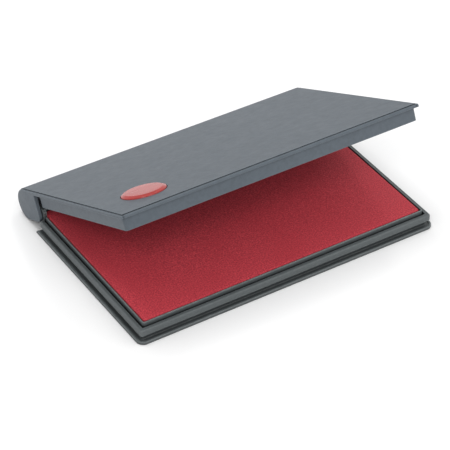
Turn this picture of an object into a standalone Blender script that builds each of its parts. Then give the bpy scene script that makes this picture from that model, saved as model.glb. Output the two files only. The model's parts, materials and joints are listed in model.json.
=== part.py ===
"""Ink pad: a shallow two-part plastic case with a cloth-covered pad inside and a round colour button in its lid.

Frame: metres, +Z up, +X along the hinge and +Y towards it. The origin is the middle of the footprint, on
the surface that the case stands on. The lid is drawn shut, then turned open about its hinge by REST_OPENING.

Sections are lists of (outset, height) or (distance from the hinge in Y, height above the hinge). An outset is
measured outwards from the edge of the ink pad, so that every wall follows the pad.
"""

import math

import bmesh
import bpy
from mathutils import Vector

MM = 0.001

# The ink pad, which sets the size of everything else
PAD_LENGTH = 110.0 * MM
PAD_WIDTH = 68.0 * MM
PAD_TOP = 6.9 * MM
CLOTH = 0.35 * MM
CLOTH_HEM = 5.5 * MM
BOARD = 0.6 * MM
EDGE = 0.35 * MM
CHAMFER = 0.1 * MM

# The hinge: the barrel at the back of the lid turns about its own axis
HINGE_FROM_PAD_FRONT = 76.2 * MM
HINGE_Z = 5.85 * MM
BARREL_RADIUS = 5.75 * MM
BARREL_WALL = 1.1 * MM
BARREL_WRAP = math.radians(55.0)
REST_OPENING = math.radians(26.3)
STUB_RADIUS = 1.4 * MM
STUB_REACH = 0.9 * MM
SOCKET_RADIUS = 1.7 * MM
SOCKET_REACH = 1.15 * MM

# Gaps between neighbouring pieces
GAP = 0.3 * MM

# The base: a foot flange, a recessed wall above it and a shoulder that the lid closes on
FLANGE_OUT = 3.85 * MM
FLANGE_TOP = 1.2 * MM
FLANGE_BEAD = 0.24 * MM
GUTTER_Z = 0.75 * MM
RECESS_OUT = 1.6 * MM
SHOULDER_OUT = 2.85 * MM
SHOULDER_UNDER = 3.0 * MM
SHOULDER_TOP = 5.4 * MM
SHOULDER_ROUND = 0.6 * MM
SHOULDER_IN = 1.45 * MM
WALL_CORNER = -1.1 * MM
WELL_OUT = 1.15 * MM
FLOOR_TOP = 1.25 * MM
FOOT_INSIDE = 4.0 * MM
FOOT_HEIGHT = 0.35 * MM
END_SWEEP = 10.75 * MM
BACK_WALL = 1.0 * MM
HEEL_FRONT = 65.2 * MM
HEEL_BACK = 71.4 * MM
HEEL_HALF = 53.5 * MM
BACK_WALL_UNDER = 3.1 * MM

# The hinge ears at the back of the base
EAR_OUTER_X = 56.4 * MM
EAR_THICK = 1.2 * MM
EAR_FRONT = 10.85 * MM
EAR_HEIGHT = 3.4 * MM
EAR_SLOPE = 0.8 * MM
EAR_ARM = 1.85 * MM
EAR_FOOT = 2.0 * MM
EAR_POST = 4.5 * MM

# The inner tray that holds the pad
RIM_OUT = 0.85 * MM
RIM_IN = 0.25 * MM
RIM_TOP = 6.8 * MM
TRAY_FLOOR = 0.6 * MM

# The lid, shut
LID_HALF = 57.9 * MM
CHEEK_INNER_X = 56.7 * MM
PANEL_HALF = 57.1 * MM
PANEL_STEP = 0.3 * MM
PLATE_UNDER = 10.2 * MM
LIP_OUT = 2.8 * MM
PANEL_FRONT_OUT = 1.9 * MM
SKIRT_OUT = 1.65 * MM
SKIRT_THICK = 0.55 * MM
SKIRT_DRAFT = 0.1 * MM
SKIRT_CORNER = -0.6 * MM
SKIRT_BOTTOM = 5.7 * MM
SKIRT_BACK = 63.8 * MM
CHEEK_FRONT = 9.75 * MM
CHEEK_EDGE = 0.2 * MM
CHEEK_CORNER = 2.2 * MM

# The colour button, near the lid's front left corner
BUTTON_RADIUS = 7.8 * MM
BUTTON_TOP = 0.85 * MM
BUTTON_SINK = 0.4 * MM
BUTTON_BEVEL = 0.95 * MM
BUTTON_X = -40.3 * MM
BUTTON_FROM_PAD_FRONT = 14.6 * MM
STEM_RADIUS = 1.85 * MM
STEM_BARB = 0.5 * MM
STEM_REACH = 1.2 * MM
SEAT_ABOVE = 1.0 * MM
SEAT_BELOW = 3.0 * MM

# How finely round shapes are divided
CORNER_STEPS = 5
ARC_STEP = math.radians(7.5)
DISC_SIDES = 48
STUB_SIDES = 24
SWEEP_SIDES = 96
SMALLEST_CORNER = 0.15 * MM

# Cutters reach this far past the pieces that they cut
PAST = 100.0 * MM

# Places that follow from the dimensions above
PAD_FRONT_Y = (FLANGE_OUT - HINGE_FROM_PAD_FRONT - BARREL_RADIUS) / 2
PAD_CENTRE_Y = PAD_FRONT_Y + PAD_WIDTH / 2
HINGE_Y = PAD_FRONT_Y + HINGE_FROM_PAD_FRONT
PANEL_TOP = HINGE_Z + BARREL_RADIUS
LEDGE_TOP = PANEL_TOP - PANEL_STEP

# Colours: linear RGB
CASE_GREY = (0.130, 0.145, 0.155)
PAD_RED = (0.42, 0.035, 0.045)
BUTTON_RED = (0.62, 0.085, 0.080)
FELT_RED = (0.30, 0.030, 0.035)
BOARD_GREY = (0.45, 0.43, 0.38)


def clear_scene():
    for obj in list(bpy.data.objects):
        bpy.data.objects.remove(obj, do_unlink=True)


def new_collection(name):
    collection = bpy.data.collections.new(name)
    bpy.context.scene.collection.children.link(collection)
    return collection


def material(name, colour, roughness):
    """A plain plastic or cloth finish."""
    finish = bpy.data.materials.new(name)
    finish.use_nodes = True
    shader = finish.node_tree.nodes["Principled BSDF"]
    shader.inputs["Base Color"].default_value = (*colour, 1.0)
    shader.inputs["Roughness"].default_value = roughness
    shader.inputs["Metallic"].default_value = 0.0
    return finish


def loft(name, rings, collection, closed=False):
    """A solid skinned over rings of equally many points, capped at both ends or joined end to end."""
    build = bmesh.new()
    rows = [[build.verts.new(point) for point in ring] for ring in rings]
    pairs = list(zip(rows, rows[1:]))
    if closed:
        pairs.append((rows[-1], rows[0]))
    else:
        build.faces.new(rows[0])
        build.faces.new(rows[-1])
    for near, far in pairs:
        for i in range(len(near)):
            j = (i + 1) % len(near)
            build.faces.new((near[i], near[j], far[j], far[i]))
    bmesh.ops.recalc_face_normals(build, faces=build.faces)
    mesh = bpy.data.meshes.new(name)
    build.to_mesh(mesh)
    build.free()
    obj = bpy.data.objects.new(name, mesh)
    collection.objects.link(obj)
    return obj


def finish_piece(obj, finish, sharp_degrees=35.0):
    """Gives a piece its material and smooth round faces."""
    obj.data.materials.append(finish)
    obj.data.shade_smooth()
    obj.data.set_sharp_from_angle(angle=math.radians(sharp_degrees))


def combine(target, operation, tool):
    """Adds an exact Boolean with a tool that is left out of renders."""
    modifier = target.modifiers.new(tool.name, "BOOLEAN")
    modifier.operation = operation
    modifier.solver = "EXACT"
    modifier.object = tool
    tool.hide_render = True
    tool.display_type = "WIRE"


def pad_outline(outset, z, corner=0.0):
    """A rounded rectangle that stands outset outside the pad's edge. Its corner radius grows with the outset."""
    radius = max(corner + outset, SMALLEST_CORNER)
    half_x = PAD_LENGTH / 2 + outset - radius
    half_y = PAD_WIDTH / 2 + outset - radius
    points = []
    for quarter, (side_x, side_y) in enumerate(((1, 1), (-1, 1), (-1, -1), (1, -1))):
        for step in range(CORNER_STEPS + 1):
            turn = math.radians(90.0) * (quarter + step / CORNER_STEPS)
            x = side_x * half_x + radius * math.cos(turn)
            y = PAD_CENTRE_Y + side_y * half_y + radius * math.sin(turn)
            points.append(Vector((x, y, z)))
    return points


def pad_solid(name, section, collection, corner=0.0, closed=False):
    """A solid whose section of (outset, height) points runs all round the pad."""
    rings = [pad_outline(outset, z, corner) for outset, z in section]
    return loft(name, rings, collection, closed)


def arc(centre, radius, start, end):
    """Points of an arc in the YZ plane, angles from +Y towards +Z."""
    steps = max(2, round(abs(end - start) / ARC_STEP))
    points = []
    for step in range(steps + 1):
        turn = start + (end - start) * step / steps
        points.append((centre[0] + radius * math.cos(turn), centre[1] + radius * math.sin(turn)))
    return points


def inset_outline(points, distance):
    """The outline of (y, z) points moved inwards by a distance. The outline runs anticlockwise."""
    moved = []
    for i, here in enumerate(points):
        before = Vector(points[i - 1])
        after = Vector(points[(i + 1) % len(points)])
        along_in = (Vector(here) - before).normalized()
        along_out = (after - Vector(here)).normalized()
        normal_in = Vector((-along_in.y, along_in.x))
        normal_out = Vector((-along_out.y, along_out.x))
        bisector = (normal_in + normal_out).normalized()
        reach = distance / max(0.5, bisector.dot(normal_in))
        moved.append((here[0] + bisector.x * reach, here[1] + bisector.y * reach))
    return moved


def side_solid(name, sections, collection):
    """A solid skinned over (x, outline) sections, whose outlines are (y, z) points."""
    rings = [[Vector((x, y, z)) for y, z in outline] for x, outline in sections]
    return loft(name, rings, collection)


def box(name, low, high, collection):
    """A box between two corners."""
    (x0, y0, z0), (x1, y1, z1) = low, high
    outline = [(y0, z0), (y1, z0), (y1, z1), (y0, z1)]
    return side_solid(name, [(x0, outline), (x1, outline)], collection)


def rod(name, radius, x0, x1, y, z, sides, collection):
    """A cylinder along X."""
    bpy.ops.mesh.primitive_cylinder_add(
        vertices=sides,
        radius=radius,
        depth=x1 - x0,
        location=((x0 + x1) / 2, y, z),
        rotation=(0.0, math.radians(90.0), 0.0),
    )
    obj = bpy.context.object
    obj.name = name
    for owner in list(obj.users_collection):
        owner.objects.unlink(obj)
    collection.objects.link(obj)
    return obj


def make_base_tray(parts, tools, finish):
    """The lower moulding: three walls round the pad, a back wall, a heel and two hinge ears with stub pins."""
    bead = FLANGE_BEAD
    section = [
        (-FOOT_INSIDE, FOOT_HEIGHT),
        (-FOOT_INSIDE, 0.0),
        (FLANGE_OUT - EDGE, 0.0),
        (FLANGE_OUT, EDGE),
        (FLANGE_OUT, FLANGE_TOP - EDGE),
        (FLANGE_OUT - bead, FLANGE_TOP - bead / 2),
        (FLANGE_OUT - 2 * bead, FLANGE_TOP),
        (FLANGE_OUT - 3 * bead, FLANGE_TOP - bead / 2),
        (FLANGE_OUT - 3.5 * bead, GUTTER_Z),
        (RECESS_OUT, GUTTER_Z),
        (RECESS_OUT, SHOULDER_UNDER),
        (SHOULDER_OUT - bead, SHOULDER_UNDER),
        (SHOULDER_OUT, SHOULDER_UNDER + bead),
    ]
    for step in range(4):
        turn = math.radians(30.0) * step
        outset = SHOULDER_OUT - SHOULDER_ROUND * (1 - math.cos(turn))
        section.append((outset, SHOULDER_TOP - SHOULDER_ROUND * (1 - math.sin(turn))))
    section += [
        (SHOULDER_IN + bead / 2, SHOULDER_TOP),
        (SHOULDER_IN, SHOULDER_TOP - bead / 2),
        (SHOULDER_IN, SHOULDER_UNDER + EDGE),
        (WELL_OUT, SHOULDER_UNDER - EDGE),
        (WELL_OUT, FLOOR_TOP),
    ]
    base = pad_solid("base_tray", section, parts, corner=WALL_CORNER)

    pad_back = PAD_FRONT_Y + PAD_WIDTH
    for point in base.data.vertices:
        if point.co.y > PAD_CENTRE_Y:
            point.co.y += END_SWEEP

    sweep = rod("base_end_sweep", END_SWEEP, -PAST, PAST, HINGE_Y, HINGE_Z, SWEEP_SIDES, tools)
    combine(base, "DIFFERENCE", sweep)
    behind = box("base_behind", (-PAST, HINGE_Y, -PAST), (PAST, HINGE_Y + PAST, PAST), tools)
    combine(base, "DIFFERENCE", behind)

    wall_y = pad_back + WELL_OUT
    wall_half = EAR_OUTER_X - EAR_THICK / 2
    wall_low = (-wall_half, wall_y, BACK_WALL_UNDER)
    wall_high = (wall_half, wall_y + BACK_WALL, SHOULDER_TOP)
    combine(base, "UNION", box("base_back_wall", wall_low, wall_high, tools))

    wall_mid = BACK_WALL_UNDER + EDGE
    heel = [
        (PAD_FRONT_Y + HEEL_FRONT, FOOT_HEIGHT),
        (PAD_FRONT_Y + HEEL_BACK, FOOT_HEIGHT),
        (PAD_FRONT_Y + HEEL_BACK, FLOOR_TOP),
        (wall_y + BACK_WALL - CHAMFER, FLOOR_TOP),
        (wall_y + BACK_WALL - CHAMFER, wall_mid),
        (wall_y + CHAMFER, wall_mid),
        (wall_y + CHAMFER, FLOOR_TOP),
        (PAD_FRONT_Y + HEEL_FRONT, FLOOR_TOP),
    ]
    combine(base, "UNION", side_solid("base_heel", [(-HEEL_HALF, heel), (HEEL_HALF, heel)], tools))

    for side, word in ((-1, "left"), (1, "right")):
        outline = ear_outline()
        faces = sorted((side * EAR_OUTER_X, side * (EAR_OUTER_X - EAR_THICK)))
        ear = side_solid(f"base_ear_{word}", [(x, outline) for x in faces], tools)
        combine(base, "UNION", ear)
        ends = sorted((side * (EAR_OUTER_X - EAR_THICK / 2), side * (EAR_OUTER_X + STUB_REACH)))
        stub = rod(f"base_stub_{word}", STUB_RADIUS, *ends, HINGE_Y, HINGE_Z, STUB_SIDES, tools)
        combine(base, "UNION", stub)
    finish_piece(base, finish)
    return base


def ear_outline():
    """A post on the heel with an arm back to the hinge's axis, as (y, z) points."""
    front = HINGE_Y - EAR_FRONT
    top = HINGE_Z + EAR_HEIGHT
    eye = arc((HINGE_Y, HINGE_Z), EAR_ARM, math.radians(-90.0), math.radians(80.0))
    return [
        (front, FLOOR_TOP - EDGE),
        (front + EAR_FOOT, FLOOR_TOP - EDGE),
        (front + EAR_POST, HINGE_Z - EAR_ARM),
        *eye,
        (front + EAR_POST, top),
        (front + EAR_SLOPE, top),
        (front, top - EAR_SLOPE),
    ]


def make_pad_tray(parts, tools, finish):
    """The thin inner tray whose rim stands round the pad, notched at its back corners for the hinge ears."""
    bottom = FLOOR_TOP + GAP
    section = [
        (RIM_OUT - CHAMFER, bottom),
        (RIM_OUT, bottom + CHAMFER),
        (RIM_OUT, RIM_TOP - CHAMFER),
        (RIM_OUT - CHAMFER, RIM_TOP),
        (RIM_IN + CHAMFER, RIM_TOP),
        (RIM_IN, RIM_TOP - CHAMFER),
        (RIM_IN, bottom + TRAY_FLOOR),
    ]
    tray = pad_solid("pad_tray", section, parts)
    notch_front = HINGE_Y - EAR_FRONT - GAP
    for side, word in ((-1, "left"), (1, "right")):
        x0, x1 = sorted((side * (PAD_LENGTH / 2 - CHAMFER), side * LID_HALF))
        low = (x0, notch_front, 0.0)
        high = (x1, HINGE_Y, PANEL_TOP)
        combine(tray, "DIFFERENCE", box(f"tray_notch_{word}", low, high, tools))
    finish_piece(tray, finish)
    return tray


def make_pad(parts, cloth_finish, felt_finish, board_finish):
    """The pad itself: a felt block on a stiff board, under a cloth that is folded round both."""
    cloth_bottom = FLOOR_TOP + GAP + TRAY_FLOOR + GAP
    board_bottom = cloth_bottom + CLOTH + GAP
    felt_bottom = board_bottom + BOARD + GAP
    felt_top = PAD_TOP - CLOTH - GAP
    cloth_out = RIM_IN - GAP
    inner_out = cloth_out - CLOTH
    felt_out = inner_out - GAP

    cloth_section = [
        (cloth_out - 1.6 * EDGE, PAD_TOP),
        (cloth_out - 0.6 * EDGE, PAD_TOP - 0.15 * EDGE),
        (cloth_out, PAD_TOP - EDGE),
        (cloth_out, cloth_bottom + EDGE / 2),
        (cloth_out - EDGE / 2, cloth_bottom),
        (-CLOTH_HEM, cloth_bottom),
        (-CLOTH_HEM, cloth_bottom + CLOTH),
        (inner_out, cloth_bottom + CLOTH),
        (inner_out, PAD_TOP - CLOTH - EDGE / 2),
        (inner_out - EDGE, PAD_TOP - CLOTH),
    ]
    cover = pad_solid("pad_cover", cloth_section, parts)
    finish_piece(cover, cloth_finish)

    board_section = [(felt_out, board_bottom), (felt_out, board_bottom + BOARD)]
    board = pad_solid("pad_backing", board_section, parts)
    finish_piece(board, board_finish)

    felt_section = [(felt_out, felt_bottom), (felt_out, felt_top - EDGE), (felt_out - EDGE, felt_top)]
    felt = pad_solid("ink_felt", felt_section, parts)
    finish_piece(felt, felt_finish)


def lip_points(under, top):
    """The lid's rounded front edge, from its underside round to the ledge, about the hinge."""
    radius = (top - under) / 2
    centre = (PAD_FRONT_Y - LIP_OUT + radius - HINGE_Y, (top + under) / 2 - HINGE_Z)
    return arc(centre, radius, math.radians(-90.0), math.radians(-270.0))


def plate_outline():
    """The lid's plate and barrel between the cheeks, open towards the base, as (y, z) about the hinge."""
    under = PLATE_UNDER - HINGE_Z
    bore = BARREL_RADIUS - BARREL_WALL
    bore_start = math.asin(under / bore)
    panel_front = PAD_FRONT_Y - PANEL_FRONT_OUT - HINGE_Y
    ledge = LEDGE_TOP - HINGE_Z
    outline = lip_points(PLATE_UNDER, LEDGE_TOP)
    outline += [(panel_front, ledge), (panel_front + PANEL_STEP / 2, BARREL_RADIUS)]
    outline += arc((0.0, 0.0), BARREL_RADIUS, math.radians(90.0), -BARREL_WRAP)
    outline += arc((0.0, 0.0), bore, -BARREL_WRAP, bore_start)
    return outline[::-1]


def cheek_outline():
    """The lid's end section: the plate's edge and the D-shaped cheek that closes the barrel."""
    radius = BARREL_RADIUS - PANEL_STEP
    under = PLATE_UNDER - HINGE_Z
    corner_centre = (-CHEEK_FRONT + CHEEK_CORNER, -radius + CHEEK_CORNER)
    outline = lip_points(PLATE_UNDER, LEDGE_TOP)
    outline += arc((0.0, 0.0), radius, math.radians(90.0), math.radians(-90.0))
    outline += arc(corner_centre, CHEEK_CORNER, math.radians(-90.0), math.radians(-180.0))
    outline += [(-CHEEK_FRONT, under)]
    return outline[::-1]


def make_lid_shell(parts, tools, hinge, finish):
    """The upper moulding, built about the hinge: plate and barrel, two cheeks, and a skirt on three sides."""
    lid = side_solid(
        "lid_shell",
        [(-PANEL_HALF, plate_outline()), (PANEL_HALF, plate_outline())],
        parts,
    )
    lid.parent = hinge
    helpers = []

    outline = cheek_outline()
    for side, word in ((-1, "left"), (1, "right")):
        sections = [(side * CHEEK_INNER_X, outline)]
        for step in range(4):
            turn = math.radians(30.0) * step
            x = LID_HALF - CHEEK_EDGE * (1 - math.sin(turn))
            sections.append((side * x, inset_outline(outline, CHEEK_EDGE * (1 - math.cos(turn)))))
        cheek = side_solid(f"lid_cheek_{word}", sections, tools)
        helpers.append((cheek, "UNION"))

    top = PLATE_UNDER + EDGE
    skirt_in = SKIRT_OUT - SKIRT_THICK
    skirt_section = [
        (SKIRT_OUT, SKIRT_BOTTOM + CHAMFER),
        (SKIRT_OUT + SKIRT_DRAFT, top),
        (skirt_in + CHAMFER / 2, top),
        (skirt_in, SKIRT_BOTTOM + CHAMFER),
        (skirt_in + CHAMFER, SKIRT_BOTTOM),
        (SKIRT_OUT - CHAMFER, SKIRT_BOTTOM),
    ]
    skirt = pad_solid("lid_skirt", skirt_section, tools, corner=SKIRT_CORNER, closed=True)
    for point in skirt.data.vertices:
        if point.co.y > PAD_CENTRE_Y:
            point.co.y += END_SWEEP
        point.co -= Vector((0.0, HINGE_Y, HINGE_Z))
    skirt_back = PAD_FRONT_Y + SKIRT_BACK - HINGE_Y
    behind = box("lid_behind_skirt", (-PAST, skirt_back, -PAST), (PAST, skirt_back + PAST, PAST), tools)
    behind.parent = hinge
    combine(skirt, "DIFFERENCE", behind)
    helpers.append((skirt, "UNION"))

    for side, word in ((-1, "left"), (1, "right")):
        ends = sorted((side * (CHEEK_INNER_X - GAP), side * (EAR_OUTER_X + SOCKET_REACH)))
        socket = rod(f"lid_socket_{word}", SOCKET_RADIUS, *ends, 0.0, 0.0, STUB_SIDES, tools)
        helpers.append((socket, "DIFFERENCE"))

    centre = Vector((BUTTON_X, PAD_FRONT_Y + BUTTON_FROM_PAD_FRONT - HINGE_Y, BARREL_RADIUS))
    seat = turned("lid_button_seat", seat_section(), tools)
    seat.location = centre
    helpers.append((seat, "DIFFERENCE"))

    for tool, operation in helpers:
        tool.parent = hinge
        combine(lid, operation, tool)
    finish_piece(lid, finish)
    return centre


def turned(name, section, collection):
    """A turned solid: a profile of (radius, height) points, from the top down, with a Screw modifier."""
    build = bmesh.new()
    points = [build.verts.new((radius, 0.0, z)) for radius, z in section]
    for upper, lower in zip(points, points[1:]):
        build.edges.new((upper, lower))
    mesh = bpy.data.meshes.new(name)
    build.to_mesh(mesh)
    build.free()
    obj = bpy.data.objects.new(name, mesh)
    collection.objects.link(obj)
    screw = obj.modifiers.new("turn", "SCREW")
    screw.steps = DISC_SIDES
    screw.render_steps = DISC_SIDES
    screw.use_merge_vertices = True
    screw.merge_threshold = 0.00001
    return obj


def seat_section():
    """The shallow seat and the hole that the button presses into, about the panel's surface."""
    radius = BUTTON_RADIUS + GAP
    hole = STEM_RADIUS + GAP
    return [
        (0.0, SEAT_ABOVE),
        (radius, SEAT_ABOVE),
        (radius, -BUTTON_SINK),
        (hole, -BUTTON_SINK),
        (hole, -SEAT_BELOW),
        (0.0, -SEAT_BELOW),
    ]


def make_colour_button(parts, hinge, centre, finish):
    """The disc with a bevelled edge, on a stem whose barb holds it under the lid's plate."""
    under_plate = PLATE_UNDER - PANEL_TOP
    sink = GAP - BUTTON_SINK
    section = [
        (0.0, BUTTON_TOP),
        (BUTTON_RADIUS - 1.3 * BUTTON_BEVEL, BUTTON_TOP),
        (BUTTON_RADIUS - BUTTON_BEVEL, BUTTON_TOP - CHAMFER / 2),
        (BUTTON_RADIUS - BUTTON_BEVEL / 5, BUTTON_TOP - BUTTON_BEVEL / 2),
        (BUTTON_RADIUS, BUTTON_TOP - 0.75 * BUTTON_BEVEL),
        (BUTTON_RADIUS, sink),
        (STEM_RADIUS, sink),
        (STEM_RADIUS, under_plate - GAP),
        (STEM_RADIUS + STEM_BARB, under_plate - GAP - CHAMFER),
        (STEM_RADIUS - CHAMFER, under_plate - STEM_REACH),
        (0.0, under_plate - STEM_REACH),
    ]
    button = turned("colour_button", section, parts)
    button.parent = hinge
    button.location = centre
    finish_piece(button, finish, sharp_degrees=25.0)


def main():
    clear_scene()
    parts = new_collection("ink_pad")
    tools = new_collection("cutters")

    case_finish = material("case_plastic", CASE_GREY, 0.5)
    make_base_tray(parts, tools, case_finish)
    make_pad_tray(parts, tools, case_finish)
    make_pad(
        parts,
        material("pad_cloth", PAD_RED, 0.9),
        material("ink_felt", FELT_RED, 0.95),
        material("backing_board", BOARD_GREY, 0.85),
    )

    hinge = bpy.data.objects.new("lid_hinge", None)
    hinge.location = (0.0, HINGE_Y, HINGE_Z)
    hinge.rotation_euler = (-REST_OPENING, 0.0, 0.0)
    parts.objects.link(hinge)
    centre = make_lid_shell(parts, tools, hinge, case_finish)
    make_colour_button(parts, hinge, centre, material("button_plastic", BUTTON_RED, 0.35))


main()
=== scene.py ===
import json
import math

import bmesh
import bpy
import numpy as np
from mathutils import Matrix, Vector, noise


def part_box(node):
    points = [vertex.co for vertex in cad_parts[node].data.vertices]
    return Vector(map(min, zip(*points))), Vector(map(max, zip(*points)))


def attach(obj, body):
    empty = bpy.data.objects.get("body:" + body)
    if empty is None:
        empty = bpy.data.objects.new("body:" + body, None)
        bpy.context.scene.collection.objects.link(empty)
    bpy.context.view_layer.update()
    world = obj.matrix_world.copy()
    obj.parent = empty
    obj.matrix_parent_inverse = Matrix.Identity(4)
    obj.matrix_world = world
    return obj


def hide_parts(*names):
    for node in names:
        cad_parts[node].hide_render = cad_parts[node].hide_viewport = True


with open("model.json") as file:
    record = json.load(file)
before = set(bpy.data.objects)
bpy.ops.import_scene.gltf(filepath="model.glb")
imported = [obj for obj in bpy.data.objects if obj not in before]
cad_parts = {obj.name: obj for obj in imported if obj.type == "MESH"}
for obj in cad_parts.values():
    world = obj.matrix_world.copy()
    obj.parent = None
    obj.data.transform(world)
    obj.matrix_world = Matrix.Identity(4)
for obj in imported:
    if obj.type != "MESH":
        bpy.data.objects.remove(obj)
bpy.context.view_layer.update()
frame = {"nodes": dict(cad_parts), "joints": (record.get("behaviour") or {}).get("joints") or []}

# Lengths are in metres. A profile's points are written in millimetres and scaled once.
MM = 0.001

# Places read from the frame
JOINT = frame["joints"][0]
HINGE = Vector(JOINT["pos_m"])
OPENING = math.radians(-JOINT["range_deg"][0])
BASE_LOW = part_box("base_tray")[0]
TRAY_LOW, TRAY_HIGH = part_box("pad_tray")
PAD_LOW, PAD_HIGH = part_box("pad_cover")
CLOTH_GAP = 0.05 * MM
PAD_HALF_X = PAD_HIGH.x + CLOTH_GAP
PAD_FRONT_Y = PAD_LOW.y - CLOTH_GAP
PAD_BACK_Y = PAD_HIGH.y + CLOTH_GAP
PAD_CENTRE_Y = (PAD_FRONT_Y + PAD_BACK_Y) / 2
PAD_HALF_Y = (PAD_BACK_Y - PAD_FRONT_Y) / 2
PAD_TOP = PAD_HIGH.z

# How finely round shapes are divided
CORNER_STEPS = 12
FILLET_STEPS = 5
ARC_STEP = math.radians(3.0)
ROD_SIDES = 48
DISC_SIDES = 128
SWEEP_SIDES = 360

# How far cutters reach past what they cut
PAST = 100 * MM

# The base
WALL_CORNER = -1.1 * MM
SHOULDER_CORNER = -2.1 * MM
SHOULDER_UNDER = 3.0 * MM
END_SWEEP = 10.75 * MM
WELL_OUT = 1.15 * MM
FLOOR_TOP = 1.25 * MM
SHOULDER_TOP = 5.4 * MM
FOOT_HEIGHT = 0.35 * MM
BACK_WALL = 1.0 * MM
BACK_WALL_UNDER = 3.1 * MM
HEEL_HALF = 53.5 * MM
HEEL_FRONT = 65.2 * MM
HEEL_BACK = 71.4 * MM
EAR_OUTER_X = 56.4 * MM
EAR_THICK = 1.2 * MM
EAR_FRONT = 10.85 * MM
EAR_TOP = 3.4 * MM
EAR_ARM = 1.85 * MM
STUB_RADIUS = 1.4 * MM
STUB_REACH = 0.9 * MM
STUB_GAP = 0.3 * MM

# The lid, shut. Heights and depths are measured from the hinge's axis.
BARREL_RADIUS = 5.75 * MM
BARREL_WALL = 1.1 * MM
BARREL_WRAP = math.radians(55.0)
LID_HALF = 57.9 * MM
CHEEK_INNER_X = 56.7 * MM
PANEL_HALF = 57.1 * MM
PANEL_STEP = 0.3 * MM
GROOVE_WIDTH = 0.22 * MM
GROOVE_DEPTH = 0.5 * MM
SIDE_GROOVE_DEPTH = 0.38 * MM
PLATE_UNDER = 4.35 * MM
LIP_OUT = 2.8 * MM
PANEL_FRONT_OUT = 1.9 * MM
SKIRT_OUT = 1.65 * MM
SKIRT_THICK = 0.55 * MM
SKIRT_DRAFT = 0.1 * MM
SKIRT_CORNER = -0.6 * MM
SKIRT_BOTTOM = -0.15 * MM
SKIRT_BACK = 12.4 * MM
CHEEK_FRONT = 9.75 * MM
CHEEK_CORNER = 2.2 * MM
CHEEK_EDGE = 0.22 * MM
MARK_RADIUS = 2.2 * MM
MARK_DEPTH = 0.12 * MM
MARKS_X = (-44.0 * MM, 0.0, 44.0 * MM)
MARKS_Y = (-66.0 * MM, -40.0 * MM, -16.0 * MM)

# The colour disc and its seat in the lid
BUTTON_RADIUS = 7.8 * MM
BUTTON_AT = Vector((-40.3 * MM, PAD_FRONT_Y + 14.6 * MM - HINGE.y, BARREL_RADIUS))
SEAT_GAP = 0.2 * MM
SEAT_DEPTH = 0.4 * MM
STEM_RADIUS = 1.85 * MM
STEM_GAP = 0.3 * MM

# The inked cover
CLOTH_SINK = 0.12 * MM
CLOTH_EDGE = 0.35 * MM
CLOTH_RISE = 0.22 * MM
CLOTH_CELL = 2.0 * MM
CLOTH_FINE = 0.4 * MM

# The layers of its unevenness: features a metre, depth, and the height at which the noise is read
CLOTH_GRAIN = ((70, 0.030 * MM, 0.3), (1100, 0.030 * MM, 5.1), (420, 0.010 * MM, 2.7))

# Its simulation, run at this many times its true size
CLOTH_SIM_SCALE = 10.0
CLOTH_FRAMES = 20
CLOTH_PRESSURE = 3.0

# Colours, in linear RGB
LID_GREY = (0.079, 0.0975, 0.117)
# The pale colours paint rubbed edges and also a painted highlight along their crests
LID_WORN_AND_LIT = (0.17, 0.20, 0.225)
BASE_GREY = (0.082, 0.094, 0.0975)
BASE_WORN_AND_LIT = (0.27, 0.30, 0.30)
FLOOR_WHITE = (0.90, 0.90, 0.90, 1.0)

# The camera: where it looks, from which side (azimuth from -Y towards +X), and through which lens
LOOK_AT = Vector((-11.222, -18.712, 14.408)) * MM
CAMERA_AZIMUTH = math.radians(-31.9)
CAMERA_ELEVATION = math.radians(38.2)
CAMERA_ROLL = math.radians(-0.25)
CAMERA_DISTANCE = 769.8 * MM
CAMERA_LENS_MM = 183.2
SENSOR_MM = 36.0

# The lights: azimuth from +X towards +Y and elevation in degrees, distance and size in metres, watts
WORLD_STRENGTH = 0.76
LIGHTS = {
    "front": (-85, 48, 1.2, 0.4, 2.3),
    "high": (105, 72, 1.2, 0.5, 4.2),
    "front_left": (-135, 45, 1.2, 0.3, 1.9),
    "front_right": (-48, 14, 0.45, 0.25, 0.22),
    "glint": (40, 55, 1.2, 0.15, 0.9),
}


# ---------------------------------------------------------------- mesh helpers

def mesh_object(name, vertices, faces):
    """A new object with this mesh, its faces turned outwards."""
    mesh = bpy.data.meshes.new(name)
    mesh.from_pydata([tuple(v) for v in vertices], [], faces)
    build = bmesh.new()
    build.from_mesh(mesh)
    bmesh.ops.recalc_face_normals(build, faces=build.faces)
    build.to_mesh(mesh)
    build.free()
    obj = bpy.data.objects.new(name, mesh)
    bpy.context.scene.collection.objects.link(obj)
    return obj


def loft(name, rings, closed=False):
    """A solid skinned over rings of equally many points, capped at both ends or joined end to end."""
    count = len(rings[0])
    vertices = [point for ring in rings for point in ring]
    faces = []
    for row in range(len(rings) if closed else len(rings) - 1):
        near = row * count
        far = (row + 1) % len(rings) * count
        for i in range(count):
            j = (i + 1) % count
            faces.append((near + i, near + j, far + j, far + i))
    if not closed:
        faces.append(tuple(range(count)))
        faces.append(tuple(range(len(vertices) - count, len(vertices))))
    return mesh_object(name, vertices, faces)


def rounded(corners, closed=True):
    """A smooth outline from (u, v, radius) corners in millimetres, as (u, v) points in metres."""
    outline = []
    last = len(corners) - 1
    for i, (u, v, radius) in enumerate(corners):
        here = Vector((u, v))
        if radius == 0 or (not closed and i in (0, last)):
            outline.append(here * MM)
            continue
        before = Vector(corners[i - 1][:2]) - here
        after = Vector(corners[(i + 1) % len(corners)][:2]) - here
        half_turn = before.angle(after) / 2
        reach = min(radius / math.tan(half_turn), 0.49 * before.length, 0.49 * after.length)
        start = here + before.normalized() * reach
        end = here + after.normalized() * reach
        for step in range(FILLET_STEPS + 1):
            t = step / FILLET_STEPS
            outline.append(((1 - t) ** 2 * start + 2 * t * (1 - t) * here + t ** 2 * end) * MM)
    return outline


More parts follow.
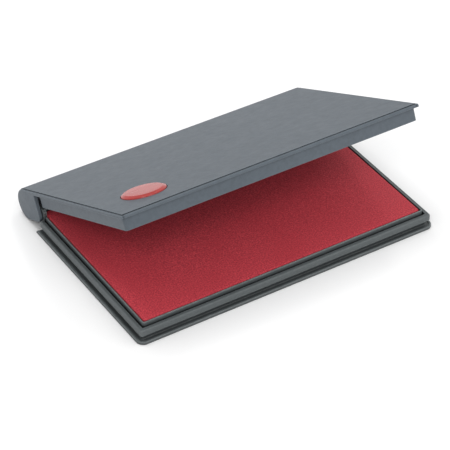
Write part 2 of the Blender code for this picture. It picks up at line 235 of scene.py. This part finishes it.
def arc(centre, radius, start, end):
    """Points of an arc in the YZ plane, angles from +Y towards +Z."""
    steps = max(3, round(abs(end - start) / ARC_STEP))
    turns = [start + (end - start) * step / steps for step in range(steps + 1)]
    return [Vector((centre[0] + radius * math.cos(t), centre[1] + radius * math.sin(t))) for t in turns]


def pad_ring(outset, z, corner=0.0):
    """A rounded rectangle that stands outset outside the pad's edge."""
    radius = max(corner + outset, 0.15 * MM)
    half_x = PAD_HALF_X + outset - radius
    half_y = PAD_HALF_Y + outset - radius
    points = []
    for quarter, (side_x, side_y) in enumerate(((1, 1), (-1, 1), (-1, -1), (1, -1))):
        for step in range(CORNER_STEPS + 1):
            turn = math.radians(90.0) * (quarter + step / CORNER_STEPS)
            x = side_x * half_x + radius * math.cos(turn)
            y = PAD_CENTRE_Y + side_y * half_y + radius * math.sin(turn)
            points.append(Vector((x, y, z)))
    return points


def side_solid(name, sections):
    """A solid skinned over (x, outline) sections, whose outlines are (y, z) points."""
    return loft(name, [[Vector((x, point[0], point[1])) for point in outline] for x, outline in sections])


def box(name, low, high):
    """A box between two corners."""
    outline = [(low[1], low[2]), (high[1], low[2]), (high[1], high[2]), (low[1], high[2])]
    return side_solid(name, [(low[0], outline), (high[0], outline)])


def rod(name, radius, x0, x1, y, z, sides):
    """A cylinder along X."""
    turns = [2 * math.pi * i / sides for i in range(sides)]
    outline = [(y + radius * math.cos(t), z + radius * math.sin(t)) for t in turns]
    return side_solid(name, [(x0, outline), (x1, outline)])


def turned(name, section, sides=DISC_SIDES):
    """A turned solid about Z: a profile of (radius, height) points from the top's middle to the bottom's."""
    top, bottom = section[0], section[-1]
    turns = [2 * math.pi * i / sides for i in range(sides)]
    vertices = [Vector((0.0, 0.0, top[1]))]
    for radius, z in section[1:-1]:
        vertices += [Vector((radius * math.cos(t), radius * math.sin(t), z)) for t in turns]
    vertices.append(Vector((0.0, 0.0, bottom[1])))
    last = len(vertices) - 1
    rings = len(section) - 2
    faces = []
    for i in range(sides):
        j = (i + 1) % sides
        faces.append((0, 1 + i, 1 + j))
        faces.append((last, last - sides + j, last - sides + i))
        for ring in range(rings - 1):
            near = 1 + ring * sides
            far = near + sides
            faces.append((near + i, far + i, far + j, near + j))
    return mesh_object(name, vertices, faces)


def combine(target, operation, tools):
    """Applies exact Booleans with the tools, which are then removed."""
    for tool in tools:
        modifier = target.modifiers.new(tool.name, "BOOLEAN")
        modifier.operation = operation
        modifier.solver = "EXACT"
        modifier.object = tool
    apply_modifiers(target)
    for tool in tools:
        bpy.data.objects.remove(tool, do_unlink=True)


def apply_modifiers(obj):
    """Replaces the object's mesh with what its modifiers make of it."""
    graph = bpy.context.evaluated_depsgraph_get()
    made = bpy.data.meshes.new_from_object(obj.evaluated_get(graph))
    obj.modifiers.clear()
    obj.data = made


def smooth(obj, sharp_degrees=32.0):
    """Smooth shading, with an edge wherever faces meet at a steeper angle."""
    obj.data.shade_smooth()
    obj.data.set_sharp_from_angle(angle=math.radians(sharp_degrees))


def finish_piece(obj, body, nodes, material):
    """Gives a new piece its material, its body and the CAD nodes that it stands for."""
    obj.data.materials.clear()
    obj.data.materials.append(material)
    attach(obj, body)
    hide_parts(*nodes)


# ---------------------------------------------------------------- materials

class Nodes:
    """Builds a material's nodes one after another."""

    def __init__(self, name):
        self.material = bpy.data.materials.new(name)
        self.material.use_nodes = True
        self.tree = self.material.node_tree
        self.shader = self.tree.nodes["Principled BSDF"]
        self.coords = self.tree.nodes.new("ShaderNodeTexCoord").outputs["Object"]

    def set(self, **values):
        """Sets the shader's own inputs."""
        for name, value in values.items():
            self.shader.inputs[name.replace("_", " ")].default_value = value

    def link(self, source, target):
        """Joins an output to an input."""
        self.tree.links.new(source, target)

    def noise(self, scale, detail=2.0, roughness=0.5, stretch=None):
        """Noise with this many features a metre, from about 0.3 to 0.7."""
        node = self.tree.nodes.new("ShaderNodeTexNoise")
        node.inputs["Scale"].default_value = scale
        node.inputs["Detail"].default_value = detail
        node.inputs["Roughness"].default_value = roughness
        source = self.coords
        if stretch:
            mapping = self.tree.nodes.new("ShaderNodeMapping")
            mapping.inputs["Scale"].default_value = stretch
            self.link(source, mapping.inputs["Vector"])
            source = mapping.outputs["Vector"]
        self.link(source, node.inputs["Vector"])
        return node.outputs["Fac"]

    def spread(self, value, low, high, out_low=0.0, out_high=1.0):
        """Maps a range of a value onto another range."""
        node = self.tree.nodes.new("ShaderNodeMapRange")
        node.inputs["From Min"].default_value = low
        node.inputs["From Max"].default_value = high
        node.inputs["To Min"].default_value = out_low
        node.inputs["To Max"].default_value = out_high
        self.link(value, node.inputs["Value"])
        return node.outputs["Result"]

    def math(self, operation, a, b):
        """Arithmetic on two values. Each is a number or an earlier output."""
        node = self.tree.nodes.new("ShaderNodeMath")
        node.operation = operation
        for socket, value in zip(node.inputs, (a, b)):
            if isinstance(value, (int, float)):
                socket.default_value = value
            else:
                self.link(value, socket)
        return node.outputs["Value"]

    def mix(self, factor, a, b):
        """Mixes two colours. Each is a linear RGB triple or an earlier colour."""
        node = self.tree.nodes.new("ShaderNodeMix")
        node.data_type = "RGBA"
        self.link(factor, node.inputs["Factor"])
        # A colour mix has its two colours at inputs 6 and 7, and its result at output 2
        for socket, value in ((node.inputs[6], a), (node.inputs[7], b)):
            if isinstance(value, tuple):
                socket.default_value = (*value, 1.0)
            else:
                self.link(value, socket)
        return node.outputs[2]

    def bump(self, height, distance, strength, base=None):
        """A rough surface, over an earlier one where base is given."""
        node = self.tree.nodes.new("ShaderNodeBump")
        node.inputs["Distance"].default_value = distance
        node.inputs["Strength"].default_value = strength
        self.link(height, node.inputs["Height"])
        if base:
            self.link(base, node.inputs["Normal"])
        return node.outputs["Normal"]


def scaled(colour, share):
    """A colour with this share of its light."""
    return tuple(channel * share for channel in colour)


def case_plastic(name, colour, pale_wear_and_highlight, wear_and_highlight):
    """Matte moulded plastic: a leather-like grain, edges painted paler for rubbed wear and for painted
    highlights, and painted shade in the grooves.
    """
    n = Nodes(name)
    flow = n.spread(n.noise(30, 3.0, 0.55, stretch=(0.5, 1.0, 1.0)), 0.35, 0.65)
    leather = n.noise(620, 3.0, 0.62)
    base = n.mix(flow, scaled(colour, 0.985), scaled(colour, 1.015))
    grained = n.mix(n.spread(leather, 0.40, 0.66, 0.0, 0.45), base, scaled(colour, 0.70))
    bevel = n.tree.nodes.new("ShaderNodeBevel")
    bevel.samples = 4
    bevel.inputs["Radius"].default_value = 0.5 * MM
    # An edge is painted paler where the face's own normal leans away from the normal rounded over the edge:
    # partly rubbed wear, partly a painted highlight along the crests
    geometry = n.tree.nodes.new("ShaderNodeNewGeometry")
    facing = n.tree.nodes.new("ShaderNodeVectorMath")
    facing.operation = "DOT_PRODUCT"
    n.link(bevel.outputs["Normal"], facing.inputs[0])
    n.link(geometry.outputs["Normal"], facing.inputs[1])
    worn_and_highlit_edge = n.spread(facing.outputs["Value"], 0.992, 0.93, 0.0, wear_and_highlight)
    patchy_wear_and_highlight = n.math("MULTIPLY", worn_and_highlit_edge, n.spread(n.noise(420, 3.0, 0.6), 0.30, 0.60, 0.4, 1.0))
    rubbed_and_highlit = n.mix(patchy_wear_and_highlight, grained, pale_wear_and_highlight)
    # Painted shade: the colour falls towards near-black where the surface is hemmed in, in grooves, recesses
    # and under the lip
    shade_occlusion = n.tree.nodes.new("ShaderNodeAmbientOcclusion")
    shade_occlusion.samples = 8
    shade_occlusion.inputs["Distance"].default_value = 2.4 * MM
    painted_shade = n.spread(shade_occlusion.outputs["AO"], 0.30, 0.80, 0.85, 0.0)
    n.link(n.mix(painted_shade, rubbed_and_highlit, scaled(colour, 0.12)), n.shader.inputs["Base Color"])
    n.link(n.spread(n.noise(240, 4.0, 0.6), 0.3, 0.7, 0.46, 0.53), n.shader.inputs["Roughness"])
    spark = n.bump(n.noise(2600, 2.0, 0.6), 0.02 * MM, 0.5)
    n.link(n.bump(leather, 0.08 * MM, 0.5, base=spark), n.shader.inputs["Normal"])
    n.set(Specular_IOR_Level=0.42)
    return n.material


def inked_cloth(name):
    """Close cloth soaked with red ink: a fine mottled grain, slightly wet where the ink stands."""
    n = Nodes(name)
    grain = n.noise(1900, 3.0, 0.7)
    threads = n.noise(3800, 2.0, 0.6)
    pools = n.noise(46, 3.0, 0.5)
    body = n.mix(n.spread(grain, 0.34, 0.66), (0.300, 0.018, 0.034), (0.700, 0.057, 0.077))
    deep = n.mix(n.spread(pools, 0.35, 0.68, 0.0, 0.35), body, (0.430, 0.024, 0.039))
    lint = n.mix(n.spread(threads, 0.56, 0.72, 0.0, 0.45), deep, (0.80, 0.14, 0.15))
    n.link(lint, n.shader.inputs["Base Color"])
    n.link(n.spread(pools, 0.3, 0.7, 0.78, 0.60), n.shader.inputs["Roughness"])
    coarse = n.bump(grain, 0.10 * MM, 0.6)
    n.link(n.bump(threads, 0.04 * MM, 0.5, base=coarse), n.shader.inputs["Normal"])
    n.set(Specular_IOR_Level=0.3, Sheen_Weight=0.15, Sheen_Roughness=0.5)
    n.set(Sheen_Tint=(1.0, 0.45, 0.45, 1.0))
    return n.material


def button_plastic(name):
    """Smooth red plastic with a dull skin and a few fine scuffs."""
    n = Nodes(name)
    cloud = n.noise(160, 3.0, 0.5)
    scuff = n.noise(900, 4.0, 0.7, stretch=(0.15, 1.0, 1.0))
    colour = n.mix(n.spread(cloud, 0.35, 0.65), (0.335, 0.033, 0.030), (0.385, 0.042, 0.037))
    n.link(colour, n.shader.inputs["Base Color"])
    n.link(n.spread(scuff, 0.35, 0.72, 0.18, 0.30), n.shader.inputs["Roughness"])
    n.link(n.bump(n.noise(700, 2.0, 0.5), 0.01 * MM, 0.35), n.shader.inputs["Normal"])
    n.set(Specular_IOR_Level=0.3, Coat_Weight=0.05, Coat_Roughness=0.15)
    return n.material


def felt(name):
    """Dense red felt, inside the cover."""
    n = Nodes(name)
    fibres = n.noise(2200, 5.0, 0.7)
    colour = n.mix(n.spread(fibres, 0.3, 0.7), (0.22, 0.012, 0.018), (0.40, 0.05, 0.05))
    n.link(colour, n.shader.inputs["Base Color"])
    n.link(n.bump(fibres, 0.15 * MM, 0.8), n.shader.inputs["Normal"])
    n.set(Roughness=0.95)
    return n.material


def board(name):
    """Grey-brown pressed board, inside the cover."""
    n = Nodes(name)
    fleck = n.noise(900, 5.0, 0.7)
    colour = n.mix(n.spread(fleck, 0.3, 0.7), (0.30, 0.27, 0.22), (0.48, 0.45, 0.39))
    n.link(colour, n.shader.inputs["Base Color"])
    n.link(n.bump(fleck, 0.05 * MM, 0.6), n.shader.inputs["Normal"])
    n.set(Roughness=0.9)
    return n.material


# ---------------------------------------------------------------- the base

def base_section():
    """The wall from the foot's inside, round the flange, recess and shoulder, down to the floor."""
    foot_inside = -4.0
    flange = (-PAD_HALF_X - BASE_LOW.x) / MM
    wall = 1.6
    shoulder = 2.85
    well = WELL_OUT / MM
    well_mouth = 1.45
    flange_top = 1.2
    recess_floor = 0.75
    under = SHOULDER_UNDER / MM
    top = SHOULDER_TOP / MM
    corners = [
        (foot_inside, FOOT_HEIGHT / MM, 0),
        (foot_inside, 0.0, 0.15),
        (flange, 0.0, 0.3),
        (flange, flange_top, 0.32),
        (flange - 0.8, flange_top, 0.22),
        (flange - 0.95, recess_floor, 0.15),
        (wall, recess_floor, 0.25),
        (wall, under, 0.15),
        (shoulder, under, 0.22),
        (shoulder, top, 0.62),
        (well_mouth, top, 0.15),
        (well_mouth, under + 0.35, 0.1),
        (well, under - 0.35, 0.1),
        (well, FLOOR_TOP / MM, 0),
    ]
    return rounded(corners, closed=False)


def ear_outline():
    """A post on the floor with an arm back to the hinge's axis, as (y, z) points."""
    front = HINGE.y - EAR_FRONT
    top = HINGE.z + EAR_TOP
    slope = 0.8 * MM
    foot = 2.0 * MM
    post = 4.5 * MM
    low = FLOOR_TOP - 0.35 * MM
    return [
        (front, low),
        (front + foot, low),
        (front + post, HINGE.z - EAR_ARM),
        *arc((HINGE.y, HINGE.z), EAR_ARM, math.radians(-90.0), math.radians(80.0)),
        (front + post, top),
        (front + slope, top),
        (front, top - slope),
    ]


def make_base(material):
    """The lower moulding, with the rounded edges that the CAD leaves plain."""
    rings = []
    for outset, z in base_section():
        # Only the shoulder has the crisper corners
        crisp = outset > WELL_OUT + MM and z > SHOULDER_UNDER - 0.1 * MM
        rings.append(pad_ring(outset, z, SHOULDER_CORNER if crisp else WALL_CORNER))
    for ring in rings:
        for point in ring:
            if point.y > PAD_CENTRE_Y:
                point.y += END_SWEEP
    base = loft("base_moulding", rings)

    wall_y = PAD_BACK_Y + WELL_OUT
    wall_half = EAR_OUTER_X - EAR_THICK / 2
    inset = 0.1 * MM
    heel_top = BACK_WALL_UNDER + 0.35 * MM
    heel = [
        (PAD_FRONT_Y + HEEL_FRONT, FOOT_HEIGHT),
        (PAD_FRONT_Y + HEEL_BACK, FOOT_HEIGHT),
        (PAD_FRONT_Y + HEEL_BACK, FLOOR_TOP),
        (wall_y + BACK_WALL - inset, FLOOR_TOP),
        (wall_y + BACK_WALL - inset, heel_top),
        (wall_y + inset, heel_top),
        (wall_y + inset, FLOOR_TOP),
        (PAD_FRONT_Y + HEEL_FRONT, FLOOR_TOP),
    ]
    sweep = rod("end_sweep", END_SWEEP, -PAST, PAST, HINGE.y, HINGE.z, SWEEP_SIDES)
    combine(base, "DIFFERENCE", [sweep])
    wall_low = (-wall_half, wall_y, BACK_WALL_UNDER)
    wall_high = (wall_half, wall_y + BACK_WALL, SHOULDER_TOP)
    added = [
        box("back_wall", wall_low, wall_high),
        side_solid("heel", [(-HEEL_HALF, heel), (HEEL_HALF, heel)]),
    ]
    for side in (-1, 1):
        faces = sorted((side * EAR_OUTER_X, side * (EAR_OUTER_X - EAR_THICK)))
        added.append(side_solid(f"ear{side}", [(x, ear_outline()) for x in faces]))
        ends = sorted((side * (EAR_OUTER_X - EAR_THICK / 2), side * (EAR_OUTER_X + STUB_REACH)))
        added.append(rod(f"stub{side}", STUB_RADIUS, *ends, HINGE.y, HINGE.z, ROD_SIDES))
    combine(base, "UNION", added)
    smooth(base)
    finish_piece(base, "base", ["base_tray"], material)


def make_tray(material):
    """The thin tray, its rim rounded on top and notched at the back for the ears."""
    low = TRAY_LOW.z / MM
    high = TRAY_HIGH.z / MM
    floor = low + 0.6
    inside = 0.25
    rim_inside = 0.42
    rim_outside = 0.85
    section = rounded(
        [
            (inside, floor, 0),
            (inside, high - 1.0, 0.2),
            (rim_inside, high, 0.14),
            (rim_outside, high, 0.14),
            (rim_outside, low, 0.12),
            (-1.0, low, 0),
        ],
        closed=False,
    )
    tray = loft("tray_moulding", [pad_ring(outset, z) for outset, z in section])
    notch_y = HINGE.y - EAR_FRONT - 0.3 * MM
    notches = []
    for side in (-1, 1):
        x0, x1 = sorted((side * (PAD_HALF_X - 0.1 * MM), side * LID_HALF))
        notches.append(box(f"notch{side}", (x0, notch_y, 0.0), (x1, HINGE.y, PAST)))
    combine(tray, "DIFFERENCE", notches)
    smooth(tray)
    finish_piece(tray, "base", ["pad_tray"], material)


# ---------------------------------------------------------------- the ink pad

def cloth_grid(cell):
    """Evenly spaced lines across the top of the pad, up to where its edge starts to turn down."""
    half_x = PAD_HALF_X - CLOTH_GAP - CLOTH_EDGE
    half_y = PAD_HALF_Y - CLOTH_GAP - CLOTH_EDGE
    across = np.linspace(-half_x, half_x, 2 * round(half_x / cell) + 1)
    along = np.linspace(-half_y, half_y, 2 * round(half_y / cell) + 1)
    return across, along


def crowned(across, along):
    """The crown of the stretched cover as a share of its greatest rise, from a cloth simulation.

    The cover is a closed box of cloth, held along its top's border and underneath, and inflated.
    """
    shape = (len(across), len(along))
    thickness = (PAD_HIGH.z - PAD_LOW.z) * CLOTH_SIM_SCALE
    vertices = []
    for z in (0.0, -thickness):
        vertices += [(x * CLOTH_SIM_SCALE, y * CLOTH_SIM_SCALE, z) for x in across for y in along]
    total = shape[0] * shape[1]

    def index(i, j, layer):
        return layer * total + i * shape[1] + j

    faces = []
    for layer in (0, 1):
        for i in range(shape[0] - 1):
            for j in range(shape[1] - 1):
                corners = ((i, j), (i + 1, j), (i + 1, j + 1), (i, j + 1))
                quad = [index(*corner, layer) for corner in corners]
                faces.append(quad if layer == 0 else quad[::-1])
    border = [(i, 0) for i in range(shape[0])]
    border += [(shape[0] - 1, j) for j in range(1, shape[1])]
    border += [(i, shape[1] - 1) for i in range(shape[0] - 2, -1, -1)]
    border += [(0, j) for j in range(shape[1] - 2, 0, -1)]
    for here, after in zip(border, border[1:] + border[:1]):
        faces.append([index(*here, 0), index(*here, 1), index(*after, 1), index(*after, 0)])
    cover = mesh_object("cover_cage", vertices, faces)
    held = cover.vertex_groups.new(name="held")
    held.add([index(*cell, 0) for cell in border] + list(range(total, 2 * total)), 1.0, "REPLACE")

    modifier = cover.modifiers.new("cloth", "CLOTH")
    cloth = modifier.settings
    cloth.quality = 6
    cloth.mass = 0.3
    cloth.vertex_group_mass = "held"
    cloth.use_pressure = True
    cloth.uniform_pressure_force = CLOTH_PRESSURE
    cloth.tension_stiffness = 20.0
    cloth.compression_stiffness = 20.0
    cloth.bending_stiffness = 2.0
    cloth.effector_weights.gravity = 0.0
    modifier.point_cache.frame_start = 1
    modifier.point_cache.frame_end = CLOTH_FRAMES
    for step in range(1, CLOTH_FRAMES + 1):
        bpy.context.scene.frame_set(step)
    graph = bpy.context.evaluated_depsgraph_get()
    settled = cover.evaluated_get(graph)
    heights = np.array([settled.data.vertices[i].co.z for i in range(total)]).reshape(shape)
    bpy.context.scene.frame_set(1)
    bpy.data.objects.remove(cover, do_unlink=True)
    # It rises about 2 mm at its true size, too far for a flat pad, so only its shape is kept.
    # The least divisor leaves the cover flat if it should hardly rise at all.
    heights = np.maximum(heights, 0.0)
    return heights / max(heights.max(), MM)


def unevenness(x, y):
    """How far the cloth stands above or below its smooth shape at a place on the pad."""
    return sum(noise.noise(Vector((x * scale, y * scale, at))) * depth for scale, depth, at in CLOTH_GRAIN)


def make_cover(material):
    """The inked cloth: crowned over the felt, grained, and turned down inside the tray's rim."""
    coarse_x, coarse_y = cloth_grid(CLOTH_CELL)
    rise = crowned(coarse_x, coarse_y)

    across, along = cloth_grid(CLOTH_FINE)
    rows = np.array([np.interp(along, coarse_y, line) for line in rise])
    height = np.array([np.interp(across, coarse_x, line) for line in rows.T]).T
    half_x, half_y = across[-1], along[-1]
    top = PAD_TOP - CLOTH_SINK
    vertices = []
    for i, x in enumerate(across):
        for j, y in enumerate(along):
            edge = min(1.0, (half_x - abs(x)) / MM, (half_y - abs(y)) / MM)
            z = top + CLOTH_RISE * height[i, j] + unevenness(x, y) * edge
            vertices.append(Vector((x, PAD_CENTRE_Y + y, z)))

    count = len(along)
    faces = []
    for i in range(len(across) - 1):
        for j in range(count - 1):
            near = i * count + j
            faces.append((near, near + count, near + count + 1, near + 1))
    last = len(across) - 1
    border = [i * count for i in range(last + 1)]
    border += [last * count + j for j in range(1, count)]
    border += [i * count + count - 1 for i in range(last - 1, -1, -1)]
    border += [j for j in range(count - 2, 0, -1)]

    # The edge turns down through a quarter circle, falls to the bottom and turns in there
    radius = CLOTH_EDGE
    depth = top - PAD_LOW.z
    turns = [math.radians(15.0 * step) for step in range(1, 7)]
    drop = [(radius * math.sin(t), radius * (1 - math.cos(t))) for t in turns]
    drop += [(radius, depth * share) for share in (0.4, 0.7, 0.95)]
    drop.append((radius - 0.3 * MM, depth))
    previous = border
    for reach, down in drop:
        ring = []
        for start in border:
            at = vertices[start]
            core_x = max(-half_x + radius, min(half_x - radius, at.x))
            core_y = max(-half_y + radius, min(half_y - radius, at.y - PAD_CENTRE_Y))
            away = Vector((at.x - core_x, at.y - PAD_CENTRE_Y - core_y))
            away = away.normalized() * (radius + reach)
            ring.append(len(vertices))
            vertices.append(Vector((core_x + away.x, PAD_CENTRE_Y + core_y + away.y, top - down)))
        for k in range(len(border)):
            m = (k + 1) % len(border)
            faces.append((previous[k], previous[m], ring[m], ring[k]))
        previous = ring
    faces.append(tuple(previous))
    cover = mesh_object("inked_cover", vertices, faces)
    cover.data.shade_smooth()
    finish_piece(cover, "base", ["pad_cover"], material)


# ---------------------------------------------------------------- the lid

def lip_points(inset=0.0):
    """The lid's front edge, from its underside round to the ledge: crisp below, softer above."""
    ledge = (BARREL_RADIUS - PANEL_STEP - inset) / MM
    under = (PLATE_UNDER + inset) / MM
    front = (PAD_FRONT_Y - LIP_OUT - HINGE.y + inset) / MM
    back = front + 2.0
    corners = [(back, under, 0), (front, under, 0.2), (front, ledge, 0.42), (back, ledge, 0)]
    return rounded(corners, closed=False)


def plate_outline():
    """The plate and barrel between the cheeks, open to the base, with the groove before the panel."""
    bore = BARREL_RADIUS - BARREL_WALL
    panel_front = PAD_FRONT_Y - PANEL_FRONT_OUT - HINGE.y
    ledge = BARREL_RADIUS - PANEL_STEP
    groove = BARREL_RADIUS - GROOVE_DEPTH
    round_edge = 0.08 * MM
    outline = lip_points()
    outline += [
        Vector((panel_front - GROOVE_WIDTH - round_edge, ledge)),
        Vector((panel_front - GROOVE_WIDTH, ledge - round_edge)),
        Vector((panel_front - GROOVE_WIDTH, groove)),
        Vector((panel_front, groove)),
        Vector((panel_front, BARREL_RADIUS - round_edge)),
        Vector((panel_front + round_edge, BARREL_RADIUS)),
    ]
    outline += arc((0.0, 0.0), BARREL_RADIUS, math.radians(90.0), -BARREL_WRAP)
    outline += arc((0.0, 0.0), bore, -BARREL_WRAP, math.asin(PLATE_UNDER / bore))
    return outline


def cheek_outline(inset=0.0):
    """The lid's end section: the plate's edge and the D-shaped cheek that closes the barrel."""
    radius = BARREL_RADIUS - PANEL_STEP - inset
    corner = CHEEK_CORNER
    front = -CHEEK_FRONT + inset
    outline = lip_points(inset)
    outline += arc((0.0, 0.0), radius, math.radians(90.0), math.radians(-90.0))
    outline += arc((front + corner, -radius + corner), corner, math.radians(-90.0), math.radians(-180.0))
    outline.append(Vector((front, PLATE_UNDER + inset)))
    return outline


def side_groove(side):
    """The tool for the faint groove along one edge of the panel, from its front to round the barrel."""
    front = PAD_FRONT_Y - PANEL_FRONT_OUT - GROOVE_WIDTH - HINGE.y
    low = BARREL_RADIUS - SIDE_GROOVE_DEPTH
    high = BARREL_RADIUS + 1.0 * MM
    outline = [Vector((front, high)), Vector((front, low))]
    outline += arc((0.0, 0.0), low, math.radians(90.0), -BARREL_WRAP)
    outline += arc((0.0, 0.0), high, -BARREL_WRAP, math.radians(90.0))
    faces = sorted((side * (PANEL_HALF - GROOVE_WIDTH / 2), side * (PANEL_HALF + GROOVE_WIDTH / 2)))
    return side_solid(f"groove{side}", [(x, outline) for x in faces])


def skirt_solid():
    """The thin skirt under the lid's front and sides, open at the back."""
    inner = (SKIRT_OUT - SKIRT_THICK) / MM
    outer = SKIRT_OUT / MM
    foot = SKIRT_BOTTOM / MM
    # The skirt runs up into the plate, so that the two join
    top = PLATE_UNDER / MM + 0.35
    section = rounded(
        [
            (outer, foot, 0.14),
            (outer + SKIRT_DRAFT / MM, top, 0),
            (inner + 0.05, top, 0),
            (inner, foot, 0.14),
        ]
    )
    rings = [pad_ring(outset, z, SKIRT_CORNER) for outset, z in section]
    for ring in rings:
        for point in ring:
            if point.y > PAD_CENTRE_Y:
                point.y += END_SWEEP
            point.y -= HINGE.y
    skirt = loft("skirt", rings, closed=True)
    behind = box("behind_skirt", (-PAST, -SKIRT_BACK, -PAST), (PAST, PAST, PAST))
    combine(skirt, "DIFFERENCE", [behind])
    return skirt


def ejector_marks():
    """Shallow round marks that the mould's ejector pins leave on the lid's underside."""
    below = -1.0 * MM
    section = [(0.0, MARK_DEPTH), (MARK_RADIUS, MARK_DEPTH), (MARK_RADIUS, below), (0.0, below)]
    marks = []
    for x in MARKS_X:
        for y in MARKS_Y:
            mark = turned("ejector_mark", section, ROD_SIDES)
            mark.location = (x, y, PLATE_UNDER)
            marks.append(mark)
    return marks


def place_on_lid(obj):
    """Turns a piece modelled about the hinge, with the lid shut, to where the lid stands open."""
    turn = Matrix.Translation(HINGE) @ Matrix.Rotation(-OPENING, 4, "X")
    obj.data.transform(turn @ obj.matrix_world)
    obj.matrix_world = Matrix.Identity(4)


def make_lid(material):
    """The upper moulding, with the barrel, the lip and every edge rounded finely."""
    outline = plate_outline()
    lid = side_solid("lid_moulding", [(-PANEL_HALF, outline), (PANEL_HALF, outline)])
    added = [skirt_solid()]
    for side in (-1, 1):
        sections = [(side * CHEEK_INNER_X, cheek_outline())]
        for step in range(FILLET_STEPS + 1):
            turn = math.radians(90.0) * step / FILLET_STEPS
            x = LID_HALF - CHEEK_EDGE * (1 - math.sin(turn))
            sections.append((side * x, cheek_outline(CHEEK_EDGE * (1 - math.cos(turn)))))
        added.append(side_solid(f"cheek{side}", sections))
    combine(lid, "UNION", added)

    removed = [side_groove(-1), side_groove(1)]
    for side in (-1, 1):
        ends = sorted((side * (CHEEK_INNER_X - STUB_GAP), side * (EAR_OUTER_X + STUB_REACH + 0.25 * MM)))
        removed.append(rod(f"socket{side}", STUB_RADIUS + STUB_GAP, *ends, 0.0, 0.0, ROD_SIDES))
    seat_radius = BUTTON_RADIUS + SEAT_GAP
    hole_radius = STEM_RADIUS + STEM_GAP
    above, below = 1.0 * MM, -3.0 * MM
    seat = [
        (0.0, above),
        (seat_radius, above),
        (seat_radius, -SEAT_DEPTH),
        (hole_radius, -SEAT_DEPTH),
        (hole_radius, below),
        (0.0, below),
    ]
    hole = turned("button_seat", seat)
    hole.location = BUTTON_AT
    removed.append(hole)
    removed += ejector_marks()
    bpy.context.view_layer.update()
    combine(lid, "DIFFERENCE", removed)
    place_on_lid(lid)
    smooth(lid)
    finish_piece(lid, "lid", ["lid_shell"], material)


def make_button(material):
    """The colour disc: a barely domed face, a broad bevel, and a barbed stem under the lid."""
    rim = BUTTON_RADIUS / MM
    stem = STEM_RADIUS / MM
    barb = 2.35
    seated = -0.1
    under = (PLATE_UNDER - BARREL_RADIUS) / MM
    end = under - 1.2
    section = [
        (0.0, 0.88, 0),
        (rim - 3.6, 0.87, 0.5),
        (rim - 1.2, 0.83, 0.35),
        (rim - 0.12, 0.32, 0.3),
        (rim, seated, 0.1),
        (stem, seated, 0),
        (stem, under - 0.3, 0.05),
        (barb, under - 0.4, 0.12),
        (stem - 0.1, end, 0.15),
        (0.0, end, 0),
    ]
    button = turned("colour_disc", rounded(section, closed=False))
    button.location = BUTTON_AT
    bpy.context.view_layer.update()
    place_on_lid(button)
    smooth(button, sharp_degrees=40.0)
    finish_piece(button, "lid", ["colour_button"], material)


# ---------------------------------------------------------------- the stage

def make_floor():
    """A plain pale floor, just below the foot so that the two share no face."""
    size = 3.0
    vertices = [(-size, -size, 0.0), (size, -size, 0.0), (size, size, 0.0), (-size, size, 0.0)]
    floor = mesh_object("floor", vertices, [(0, 1, 2, 3)])
    floor.location.z = -0.02 * MM
    material = bpy.data.materials.new("floor_paint")
    material.use_nodes = True
    shader = material.node_tree.nodes["Principled BSDF"]
    shader.inputs["Base Color"].default_value = FLOOR_WHITE
    shader.inputs["Roughness"].default_value = 0.9
    shader.inputs["Specular IOR Level"].default_value = 0.1
    floor.data.materials.append(material)


def towards(azimuth, elevation):
    """The direction at this angle from +X towards +Y and this angle above the floor."""
    level = math.cos(elevation)
    return Vector((math.cos(azimuth) * level, math.sin(azimuth) * level, math.sin(elevation)))


def area_light(name, place, size, energy):
    """A soft square white light at a place, aimed at the object."""
    light = bpy.data.lights.new(name, "AREA")
    light.shape = "SQUARE"
    light.size = size
    light.energy = energy
    obj = bpy.data.objects.new(name, light)
    bpy.context.scene.collection.objects.link(obj)
    obj.location = place
    obj.rotation_euler = (-place).to_track_quat("-Z", "Y").to_euler()


def make_light():
    """Soft studio light: an even white surround, and square lights that model the shape a little."""
    world = bpy.data.worlds.new("studio")
    world.use_nodes = True
    background = world.node_tree.nodes["Background"]
    background.inputs["Color"].default_value = (1.0, 1.0, 1.0, 1.0)
    background.inputs["Strength"].default_value = WORLD_STRENGTH
    bpy.context.scene.world = world
    for name, (azimuth, elevation, distance, size, energy) in LIGHTS.items():
        place = towards(math.radians(azimuth), math.radians(elevation)) * distance
        area_light(name, place, size, energy)


def make_camera():
    """The camera, looking at the pad from in front, from its left and from above."""
    back = towards(CAMERA_AZIMUTH - math.radians(90.0), CAMERA_ELEVATION)
    right = towards(CAMERA_AZIMUTH, 0.0)
    up = back.cross(right)
    rolled_right = right * math.cos(CAMERA_ROLL) + up * math.sin(CAMERA_ROLL)
    rolled_up = up * math.cos(CAMERA_ROLL) - right * math.sin(CAMERA_ROLL)
    place = Matrix((rolled_right, rolled_up, back)).transposed().to_4x4()
    place.translation = LOOK_AT + back * CAMERA_DISTANCE
    camera = bpy.data.objects.new("camera", bpy.data.cameras.new("camera"))
    camera.data.lens = CAMERA_LENS_MM
    camera.data.sensor_width = SENSOR_MM
    camera.data.clip_start = 0.05
    camera.matrix_world = place
    bpy.context.scene.collection.objects.link(camera)
    bpy.context.scene.camera = camera


def main():
    """Builds the stage and every piece."""
    make_camera()
    make_floor()
    make_light()
    bpy.context.scene.view_settings.view_transform = "Standard"

    grey = case_plastic("case_plastic_grained", LID_GREY, LID_WORN_AND_LIT, 0.5)
    dark = case_plastic("case_plastic_dark", BASE_GREY, BASE_WORN_AND_LIT, 0.8)
    make_base(dark)
    make_tray(dark)
    make_cover(inked_cloth("inked_cloth"))
    make_lid(grey)
    make_button(button_plastic("button_gloss"))
    frame["nodes"]["ink_felt"].material_slots[0].material = felt("felt_fibres")
    frame["nodes"]["pad_backing"].material_slots[0].material = board("pressed_board")


main()
